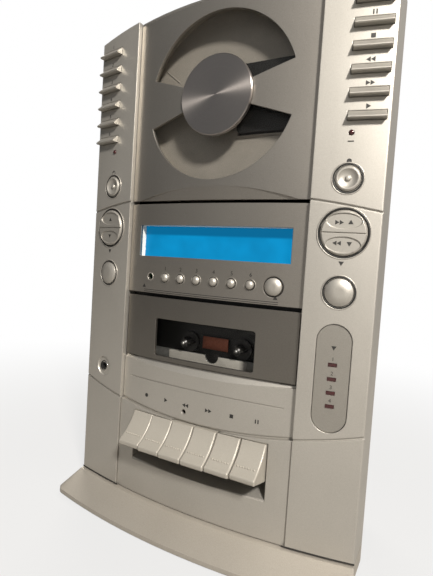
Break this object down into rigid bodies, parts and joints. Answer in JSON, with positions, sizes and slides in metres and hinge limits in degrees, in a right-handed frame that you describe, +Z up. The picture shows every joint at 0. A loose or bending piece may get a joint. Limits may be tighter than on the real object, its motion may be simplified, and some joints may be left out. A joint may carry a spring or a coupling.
{
  "type": "upright cassette and compact-disc player",
  "caption": "Upright audio player on a flared foot: bowed front, disc door with arc windows, lit display, cassette door, piano keys and columns of bar buttons.",
  "frame": {"origin": "on the table, under the middle of the bounding box", "axes": "+X to the right seen from the front, +Y into the player, +Z up"},
  "size_m": [0.226, 0.126, 0.3605],
  "materials": {
    "silver_paint": "satin metallic silver paint",
    "bar_metal": "satin metallic silver paint",
    "button_metal": "satin metallic silver paint",
    "key_metal": "satin metallic silver paint",
    "cap_metal": "satin metallic silver paint",
    "plate_metal": "satin metallic silver paint",
    "cabinet_plastic": "matt moulded",
    "foot_plastic": "satin moulded",
    "pad_rubber": "matt",
    "screw_steel": "zinc plated",
    "reflector_plastic": "satin",
    "lcd_blue": "blue back-lit",
    "well_plastic": "satin silver-grey",
    "inner_black": "matt",
    "chassis_steel": "zinc plated",
    "lens_red": "clear red",
    "board_green": "lacquered board",
    "clear_sheet": "clear moulded",
    "spindle_plastic": "satin"
  },
  "bodies": {
    "cabinet": {"front_frame": "inner_black", "left_side_panel": "silver_paint", "right_side_panel": "silver_paint", "lower_panel": "silver_paint", "display_panel": "silver_paint", "rear_cabinet": "cabinet_plastic", "base_foot": "foot_plastic", "foot_pads": "pad_rubber", "case_screws": "screw_steel", "lcd_frame": "reflector_plastic", "lcd_glass": "lcd_blue", "cd_well": "well_plastic", "cd_deck": "inner_black", "tape_chassis": "chassis_steel", "equalizer_plate": "plate_metal", "indicator_lenses": "lens_red", "headphone_jack": "inner_black", "circuit_boards": "board_green"},
    "left_bar_button_1": {"left_bar_button_1": "bar_metal"},
    "left_bar_button_2": {"left_bar_button_2": "bar_metal"},
    "left_bar_button_3": {"left_bar_button_3": "bar_metal"},
    "left_bar_button_4": {"left_bar_button_4": "bar_metal"},
    "left_bar_button_5": {"left_bar_button_5": "bar_metal"},
    "left_bar_button_6": {"left_bar_button_6": "bar_metal"},
    "right_bar_button_1": {"right_bar_button_1": "bar_metal"},
    "right_bar_button_2": {"right_bar_button_2": "bar_metal"},
    "right_bar_button_3": {"right_bar_button_3": "bar_metal"},
    "right_bar_button_4": {"right_bar_button_4": "bar_metal"},
    "right_bar_button_5": {"right_bar_button_5": "bar_metal"},
    "right_bar_button_6": {"right_bar_button_6": "bar_metal"},
    "power_button": {"power_button": "button_metal"},
    "alarm_button": {"alarm_button": "button_metal"},
    "band_button": {"band_button": "button_metal"},
    "equalizer_button": {"equalizer_button": "button_metal"},
    "preset_button_1": {"preset_button_1": "button_metal"},
    "preset_button_2": {"preset_button_2": "button_metal"},
    "preset_button_3": {"preset_button_3": "button_metal"},
    "preset_button_4": {"preset_button_4": "button_metal"},
    "preset_button_5": {"preset_button_5": "button_metal"},
    "preset_button_6": {"preset_button_6": "button_metal"},
    "memory_button": {"memory_button": "button_metal"},
    "volume_rocker": {"volume_rocker": "button_metal"},
    "tuning_rocker": {"tuning_rocker": "button_metal"},
    "record_key": {"record_key": "key_metal"},
    "play_key": {"play_key": "key_metal"},
    "rewind_key": {"rewind_key": "key_metal"},
    "fast_forward_key": {"fast_forward_key": "key_metal"},
    "stop_key": {"stop_key": "key_metal"},
    "pause_key": {"pause_key": "key_metal"},
    "disc_door": {"cd_door": "silver_paint", "cd_door_window": "clear_sheet", "cd_door_cap": "cap_metal"},
    "tape_door": {"cassette_door": "silver_paint", "cassette_window": "clear_sheet"},
    "cd_turntable": {"cd_turntable": "inner_black"},
    "supply_spindle": {"supply_spindle": "spindle_plastic"},
    "take_up_spindle": {"take_up_spindle": "spindle_plastic"},
    "capstan_flywheel": {"capstan_flywheel": "chassis_steel"},
    "cd_pickup": {"cd_pickup": "inner_black"},
    "head_bridge": {"head_bridge": "chassis_steel"}
  },
  "joints": [
    {"name": "left_bar_button_1_press", "type": "slide", "parent": "cabinet", "child": "left_bar_button_1", "axis": [0.1949, 0.9808, 0], "range_m": [0, 0.0012], "stiffness_N_per_m": 300, "springref_m": -0.0005},
    {"name": "left_bar_button_2_press", "type": "slide", "parent": "cabinet", "child": "left_bar_button_2", "axis": [0.1949, 0.9808, 0], "range_m": [0, 0.0012], "stiffness_N_per_m": 300, "springref_m": -0.0005},
    {"name": "left_bar_button_3_press", "type": "slide", "parent": "cabinet", "child": "left_bar_button_3", "axis": [0.1949, 0.9808, 0], "range_m": [0, 0.0012], "stiffness_N_per_m": 300, "springref_m": -0.0005},
    {"name": "left_bar_button_4_press", "type": "slide", "parent": "cabinet", "child": "left_bar_button_4", "axis": [0.1949, 0.9808, 0], "range_m": [0, 0.0012], "stiffness_N_per_m": 300, "springref_m": -0.0005},
    {"name": "left_bar_button_5_press", "type": "slide", "parent": "cabinet", "child": "left_bar_button_5", "axis": [0.1949, 0.9808, 0], "range_m": [0, 0.0012], "stiffness_N_per_m": 300, "springref_m": -0.0005},
    {"name": "left_bar_button_6_press", "type": "slide", "parent": "cabinet", "child": "left_bar_button_6", "axis": [0.1949, 0.9808, 0], "range_m": [0, 0.0012], "stiffness_N_per_m": 300, "springref_m": -0.0005},
    {"name": "right_bar_button_1_press", "type": "slide", "parent": "cabinet", "child": "right_bar_button_1", "axis": [-0.1949, 0.9808, 0], "range_m": [0, 0.0012], "stiffness_N_per_m": 300, "springref_m": -0.0005},
    {"name": "right_bar_button_2_press", "type": "slide", "parent": "cabinet", "child": "right_bar_button_2", "axis": [-0.1949, 0.9808, 0], "range_m": [0, 0.0012], "stiffness_N_per_m": 300, "springref_m": -0.0005},
    {"name": "right_bar_button_3_press", "type": "slide", "parent": "cabinet", "child": "right_bar_button_3", "axis": [-0.1949, 0.9808, 0], "range_m": [0, 0.0012], "stiffness_N_per_m": 300, "springref_m": -0.0005},
    {"name": "right_bar_button_4_press", "type": "slide", "parent": "cabinet", "child": "right_bar_button_4", "axis": [-0.1949, 0.9808, 0], "range_m": [0, 0.0012], "stiffness_N_per_m": 300, "springref_m": -0.0005},
    {"name": "right_bar_button_5_press", "type": "slide", "parent": "cabinet", "child": "right_bar_button_5", "axis": [-0.1949, 0.9808, 0], "range_m": [0, 0.0012], "stiffness_N_per_m": 300, "springref_m": -0.0005},
    {"name": "right_bar_button_6_press", "type": "slide", "parent": "cabinet", "child": "right_bar_button_6", "axis": [-0.1949, 0.9808, 0], "range_m": [0, 0.0012], "stiffness_N_per_m": 300, "springref_m": -0.0005},
    {"name": "power_button_press", "type": "slide", "parent": "cabinet", "child": "power_button", "axis": [0.1795, 0.9838, 0], "range_m": [0, 0.0012], "stiffness_N_per_m": 300, "springref_m": -0.0005},
    {"name": "alarm_button_press", "type": "slide", "parent": "cabinet", "child": "alarm_button", "axis": [-0.1795, 0.9838, 0], "range_m": [0, 0.0012], "stiffness_N_per_m": 300, "springref_m": -0.0005},
    {"name": "band_button_press", "type": "slide", "parent": "cabinet", "child": "band_button", "axis": [0.1795, 0.9838, 0], "range_m": [0, 0.0012], "stiffness_N_per_m": 300, "springref_m": -0.0005},
    {"name": "equalizer_button_press", "type": "slide", "parent": "cabinet", "child": "equalizer_button", "axis": [-0.1795, 0.9838, 0], "range_m": [0, 0.0012], "stiffness_N_per_m": 300, "springref_m": -0.0005},
    {"name": "preset_button_1_press", "type": "slide", "parent": "cabinet", "child": "preset_button_1", "axis": [0.0671, 0.9977, 0], "range_m": [0, 0.0009], "stiffness_N_per_m": 300, "springref_m": -0.0005},
    {"name": "preset_button_2_press", "type": "slide", "parent": "cabinet", "child": "preset_button_2", "axis": [0.0402, 0.9992, 0], "range_m": [0, 0.0009], "stiffness_N_per_m": 300, "springref_m": -0.0005},
    {"name": "preset_button_3_press", "type": "slide", "parent": "cabinet", "child": "preset_button_3", "axis": [0.0134, 0.9999, 0], "range_m": [0, 0.0009], "stiffness_N_per_m": 300, "springref_m": -0.0005},
    {"name": "preset_button_4_press", "type": "slide", "parent": "cabinet", "child": "preset_button_4", "axis": [-0.0134, 0.9999, 0], "range_m": [0, 0.0009], "stiffness_N_per_m": 300, "springref_m": -0.0005},
    {"name": "preset_button_5_press", "type": "slide", "parent": "cabinet", "child": "preset_button_5", "axis": [-0.0402, 0.9992, 0], "range_m": [0, 0.0009], "stiffness_N_per_m": 300, "springref_m": -0.0005},
    {"name": "preset_button_6_press", "type": "slide", "parent": "cabinet", "child": "preset_button_6", "axis": [-0.0671, 0.9977, 0], "range_m": [0, 0.0009], "stiffness_N_per_m": 300, "springref_m": -0.0005},
    {"name": "memory_button_press", "type": "slide", "parent": "cabinet", "child": "memory_button", "axis": [-0.0988, 0.9951, 0], "range_m": [0, 0.0009], "stiffness_N_per_m": 300, "springref_m": -0.0005},
    {"name": "volume_rocker_tilt", "type": "hinge", "parent": "cabinet", "child": "volume_rocker", "pos_m": [-0.08731, -0.0256, 0.208], "axis": [0.9838, -0.1795, 0], "range_deg": [-3, 3], "stiffness_Nm_per_rad": 0.4},
    {"name": "tuning_rocker_tilt", "type": "hinge", "parent": "cabinet", "child": "tuning_rocker", "pos_m": [0.08731, -0.0256, 0.208], "axis": [0.9838, 0.1795, 0], "range_deg": [-3, 3], "stiffness_Nm_per_rad": 0.4},
    {"name": "record_key_press", "type": "hinge", "parent": "cabinet", "child": "record_key", "pos_m": [-0.04375, -0.005, 0.062], "axis": [1, 0, 0], "range_deg": [0, 7], "stiffness_Nm_per_rad": 0.6, "springref_deg": -1.72},
    {"name": "play_key_press", "type": "hinge", "parent": "cabinet", "child": "play_key", "pos_m": [-0.02625, -0.005, 0.062], "axis": [1, 0, 0], "range_deg": [0, 7], "stiffness_Nm_per_rad": 0.6, "springref_deg": -1.72},
    {"name": "rewind_key_press", "type": "hinge", "parent": "cabinet", "child": "rewind_key", "pos_m": [-0.00875, -0.005, 0.062], "axis": [1, 0, 0], "range_deg": [0, 7], "stiffness_Nm_per_rad": 0.6, "springref_deg": -1.72},
    {"name": "fast_forward_key_press", "type": "hinge", "parent": "cabinet", "child": "fast_forward_key", "pos_m": [0.00875, -0.005, 0.062], "axis": [1, 0, 0], "range_deg": [0, 7], "stiffness_Nm_per_rad": 0.6, "springref_deg": -1.72},
    {"name": "stop_key_press", "type": "hinge", "parent": "cabinet", "child": "stop_key", "pos_m": [0.02625, -0.005, 0.062], "axis": [1, 0, 0], "range_deg": [0, 7], "stiffness_Nm_per_rad": 0.6, "springref_deg": -1.72},
    {"name": "pause_key_press", "type": "hinge", "parent": "cabinet", "child": "pause_key", "pos_m": [0.04375, -0.005, 0.062], "axis": [1, 0, 0], "range_deg": [0, 7], "stiffness_Nm_per_rad": 0.6, "springref_deg": -1.72},
    {"name": "disc_door_hinge", "type": "hinge", "parent": "cabinet", "child": "disc_door", "pos_m": [0, -0.0255, 0.237], "axis": [1, 0, 0], "range_deg": [0, 50]},
    {"name": "tape_door_hinge", "type": "hinge", "parent": "cabinet", "child": "tape_door", "pos_m": [0, -0.024, 0.1056], "axis": [1, 0, 0], "range_deg": [0, 26]},
    {"name": "cd_turntable_spin", "type": "hinge", "parent": "cabinet", "child": "cd_turntable", "pos_m": [0, -0.013, 0.2958], "axis": [0, 1, 0], "continuous": true},
    {"name": "supply_spindle_spin", "type": "hinge", "parent": "cabinet", "child": "supply_spindle", "pos_m": [-0.02125, -0.013, 0.127], "axis": [0, 1, 0], "continuous": true},
    {"name": "take_up_spindle_spin", "type": "hinge", "parent": "cabinet", "child": "take_up_spindle", "pos_m": [0.02125, -0.013, 0.127], "axis": [0, 1, 0], "continuous": true},
    {"name": "capstan_flywheel_spin", "type": "hinge", "parent": "cabinet", "child": "capstan_flywheel", "pos_m": [0.012, -0.013, 0.101], "axis": [0, 1, 0], "continuous": true},
    {"name": "cd_pickup_slide", "type": "slide", "parent": "cabinet", "child": "cd_pickup", "axis": [1, 0, 0], "range_m": [0, 0.024]},
    {"name": "head_bridge_slide", "type": "slide", "parent": "cabinet", "child": "head_bridge", "axis": [0, 0, 1], "range_m": [0, 0.005]}
  ]
}
